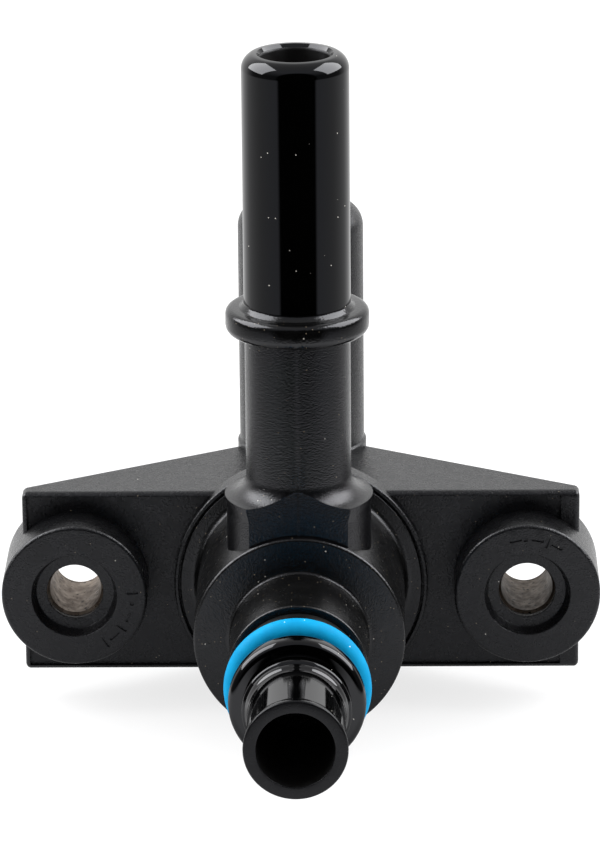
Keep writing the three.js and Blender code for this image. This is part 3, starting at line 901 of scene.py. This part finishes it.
def coil_spring(name, node, turns, wire_r, axis):
    """A compression spring with closed ends that fills a CAD node's box."""
    low, high = local_box(node)
    radius = (high.x - low.x) / 2 - wire_r
    start, end = (low.y, high.y) if axis == "y" else (low.z, high.z)
    centre = (low + high) / 2
    steps, sides = 48, 12
    closed_rise = 2.1 * wire_r
    middle_rise = (end - start - 2 * wire_r - 2 * closed_rise) / (turns - 2)

    def height(turn):
        if turn < 1:
            return closed_rise * turn
        if turn > turns - 1:
            return closed_rise + middle_rise * (turns - 2) + closed_rise * (turn - turns + 1)
        return closed_rise + middle_rise * (turn - 1)

    bm = bmesh.new()
    rings = []
    for i in range(turns * steps + 1):
        turn = i / steps
        angle = 2 * math.pi * turn
        out = Vector((math.cos(angle), math.sin(angle)))
        ring = []
        for j in range(sides):
            spin = 2 * math.pi * j / sides
            r = radius + wire_r * math.cos(spin)
            along = start + wire_r + height(turn) + wire_r * math.sin(spin)
            if axis == "y":
                place = (centre.x + r * out.x, along, centre.z + r * out.y)
            else:
                place = (centre.x + r * out.x, centre.y + r * out.y, along)
            ring.append(bm.verts.new(place))
        rings.append(ring)
    for a, b in zip(rings, rings[1:]):
        for j in range(sides):
            k = (j + 1) % sides
            bm.faces.new([a[j], a[k], b[k], b[j]])
    bm.faces.new(rings[0])
    bm.faces.new(rings[-1])
    piece = new_piece(name, bm)
    smooth(piece, 50)
    paint(piece, SPRING_STEEL)
    return piece


# -------------------------------- the object

HOUSING = "housing"  # the body that every replaced node belongs to


def add(piece, node, body, slot):
    """The piece stands for a CAD node and moves with its body. The slot is not used."""
    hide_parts(node)
    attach(piece, body)
    return piece


add(front_housing(), "front_housing", HOUSING, "gloss_nylon")
add(mounting_bracket(), "mounting_bracket", HOUSING, "matt_nylon")
add(bush(-1), "left_bush", HOUSING, "bush_steel")
add(bush(1), "right_bush", HOUSING, "bush_steel")
for name, node, slot_name, material, axis, centre in (
    ("round_inlet_o_ring", "inlet_o_ring", "blue_rubber", BLUE_RUBBER, "y", DRUM_AXIS),
    ("round_housing_seal", "housing_seal", "black_rubber", BLACK_RUBBER, "y", DRUM_AXIS),
    ("round_seat_o_ring", "seat_o_ring", "black_rubber", BLACK_RUBBER, "y", DRUM_AXIS),
    (
        "round_relief_seat_o_ring", "relief_seat_o_ring", "black_rubber", BLACK_RUBBER, "z",
        REAR_TUBE_AXIS,
    ),
):
    add(o_ring(name, node, material, axis, centre), node, HOUSING, slot_name)
add(backup_ring(), "backup_ring", HOUSING, "black_rubber")

for node, slot_name, material in (
    ("inlet_strainer", "matt_nylon", MATT_NYLON),
    ("seat_insert", "brass", BRASS),
    ("check_poppet", "acetal", ACETAL),
    ("poppet_seal", "black_rubber", BLACK_RUBBER),
    ("seal_retainer", "spring_steel", SPRING_STEEL),
    ("spring_cage", "acetal", ACETAL),
    ("relief_seat", "brass", BRASS),
    ("relief_poppet", "acetal", ACETAL),
    ("relief_poppet_seal", "black_rubber", BLACK_RUBBER),
    ("relief_spring_cap", "acetal", ACETAL),
    ("relief_snap_ring", "spring_steel", SPRING_STEEL),
):
    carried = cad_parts[node]
    paint(carried, material)

for name, node, joint, turns, wire_r, axis in (
    ("wound_check_spring", "check_spring", "check_slide", 7, 0.35, "y"),
    ("wound_relief_spring", "relief_spring", "relief_slide", 6, 0.3, "z"),
):
    spring = add(coil_spring(name, node, turns, wire_r, axis), node, HOUSING, "spring_steel")
    low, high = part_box(node)
    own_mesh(spring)

# -------------------------------- floor, light and camera

ROOM_TURN = 4  # how far the dark part of the room is turned to the object's right, in degrees
FLOOR_R = 6  # metres
FLOOR_GAP = 0.0002  # metres from the object's lowest point down to the floor
FLOOR_WHITE = (0.765, 0.765, 0.765)  # the light that the floor gives off to the eye


def floor():
    """White ground. Gloss sees it with painted shade: dimmer than the eye sees it, darker still
    under the object as a painted shadow, and not at all further out.

    The two ramps of distance are in metres.
    """
    bm = bmesh.new()
    bmesh.ops.create_circle(bm, cap_ends=True, segments=96, radius=FLOOR_R)
    mesh = bpy.data.meshes.new("floor")
    bm.to_mesh(mesh)
    bm.free()
    plane = bpy.data.objects.new("floor", mesh)
    plane.location.z = cad_low.z - FLOOR_GAP
    bpy.context.scene.collection.objects.link(plane)
    n = Nodes(bpy.data.materials.new("floor_white"))
    n.shader.inputs["Roughness"].default_value = 0.9
    n.shader.inputs["Specular IOR Level"].default_value = 0
    n.shader.inputs["Emission Strength"].default_value = 1
    n.shader.inputs["Base Color"].default_value = (0.24, 0.24, 0.243, 1)
    distance = n.add("ShaderNodeVectorMath", operation="LENGTH")
    n.link(n.place, distance, 0)
    path = n.add("ShaderNodeLightPath")
    # Painted shade for gloss: the glow that gloss sees is 0.55, and falls to 0.1 as a painted
    # shadow within about 3 to 5 cm of the object.
    gloss_painted_shade = n.mapped(distance.outputs["Value"], 0.028, 0.052, 0.1, 0.55)
    glossy_ray = path.outputs["Is Glossy Ray"]
    n.link(n.mix(glossy_ray, FLOOR_WHITE, gloss_painted_shade), n.shader, "Emission Color")
    hidden = n.product(n.mapped(distance.outputs["Value"], 0.085, 0.13, 0, 1), glossy_ray)
    clear = n.add("ShaderNodeBsdfTransparent")
    blend = n.add("ShaderNodeMixShader")
    n.link(hidden, blend, "Fac")
    n.link(n.shader.outputs["BSDF"], blend, 1)
    n.link(clear.outputs["BSDF"], blend, 2)
    n.link(blend.outputs["Shader"], n.tree.nodes["Material Output"], "Surface")
    plane.data.materials.append(n.owner)


def studio():
    """White all round for the eye and for soft light, and a darker room for gloss.

    That room has one ramp from the front to the back and one from the ground to the zenith.
    """
    world = bpy.data.worlds.new("studio")
    bpy.context.scene.world = world
    world.use_nodes = True
    world.node_tree.nodes.clear()
    n = Nodes(world, "Generated")
    backward = n.add("ShaderNodeVectorMath", operation="DOT_PRODUCT")
    n.link(n.place, backward, 0)
    turn = math.radians(ROOM_TURN)
    backward.inputs[1].default_value = (-math.sin(turn), math.cos(turn), 0)
    ramp = n.add("ShaderNodeValToRGB")
    n.link(n.mapped(backward.outputs["Value"], -1, 1, 0, 1), ramp, "Fac")
    stops = ramp.color_ramp.elements
    stops[0].position, stops[0].color = 0.12, (0.0, 0.0, 0.0, 1)
    stops[1].position, stops[1].color = 0.15, (0.4, 0.41, 0.44, 1)
    for position, level in ((0.45, 0.45), (0.75, 0.6), (0.93, 1.0)):
        stops.new(position).color = (level, level, level, 1)
    split = n.add("ShaderNodeSeparateXYZ")
    n.link(n.place, split, "Vector")
    height = n.add("ShaderNodeValToRGB")
    n.link(n.mapped(split.outputs["Z"], -1, 1, 0, 1), height, "Fac")
    levels = height.color_ramp.elements
    levels[0].position, levels[0].color = 0.38, (1, 1, 1, 1)
    levels[1].position, levels[1].color = 0.42, (0.2, 0.2, 0.2, 1)
    for position, level in ((0.62, 0.2), (0.84, 1.0)):
        levels.new(position).color = (level, level, level, 1)
    behind = n.mapped(backward.outputs["Value"], 0.2, 0.6, 0, 1)
    horizon = n.mix(behind, height.outputs["Color"], (1.0, 1.0, 1.0))
    room = n.add("ShaderNodeBackground")
    shade = n.add("ShaderNodeMix", data_type="RGBA", blend_type="MULTIPLY")
    shade.inputs["Factor"].default_value = 1
    n.link(ramp.outputs["Color"], shade, 6)
    n.link(horizon, shade, 7)
    n.link(shade.outputs[2], room, "Color")
    white = n.add("ShaderNodeBackground")
    white.inputs["Strength"].default_value = 0.99
    blend = n.add("ShaderNodeMixShader")
    n.link(n.add("ShaderNodeLightPath").outputs["Is Glossy Ray"], blend, "Fac")
    n.link(white.outputs["Background"], blend, 1)
    n.link(room.outputs["Background"], blend, 2)
    n.link(blend.outputs["Shader"], n.add("ShaderNodeOutputWorld"), "Surface")


def softbox(name, azimuth, elevation, distance, width, height, power):
    """A soft light aimed at the object, in degrees, metres and watts.

    Azimuth 0 is in front of the object and 90 on its right.
    """
    light = bpy.data.lights.new(name, "AREA")
    light.shape = "RECTANGLE"
    light.size, light.size_y = width, height
    light.energy = power
    a, e = math.radians(azimuth), math.radians(elevation)
    direction = Vector((math.sin(a) * math.cos(e), -math.cos(a) * math.cos(e), math.sin(e)))
    lamp = bpy.data.objects.new(name, light)
    lamp.location = ORIGIN + direction * distance
    lamp.rotation_euler = direction.to_track_quat("Z", "Y").to_euler()
    bpy.context.scene.collection.objects.link(lamp)


def camera():
    """A long lens a little above the object, almost straight in front of it and tilted a bit."""
    elevation, azimuth, tilt = (math.radians(x) for x in (18.531, 0.842, -0.511))
    distance, lens = 0.602342, 222.0
    aim_up, aim_right = 17.68 * MM, -0.142 * MM
    forward = Vector((
        -math.sin(azimuth) * math.cos(elevation),
        math.cos(azimuth) * math.cos(elevation),
        -math.sin(elevation),
    ))
    level = Vector((math.cos(azimuth), math.sin(azimuth), 0))
    above = level.cross(forward)
    right = level * math.cos(tilt) + above * math.sin(tilt)
    up = above * math.cos(tilt) - level * math.sin(tilt)
    data = bpy.data.cameras.new("camera")
    data.lens = lens
    data.sensor_width = 36
    eye = bpy.data.objects.new("camera", data)
    place = ORIGIN - forward * distance + up * aim_up + right * aim_right
    axes = Matrix((right, up, -forward)).transposed()
    eye.matrix_world = Matrix.Translation(place) @ axes.to_4x4()
    bpy.context.scene.collection.objects.link(eye)
    bpy.context.scene.camera = eye


floor()
studio()
softbox("left_softbox", -97, 40, 0.6, 0.55, 0.5, 5.2)
softbox("right_softbox", 97, 40, 0.6, 0.55, 0.5, 5.2)
camera()
bpy.context.scene.view_settings.view_transform = "Standard"
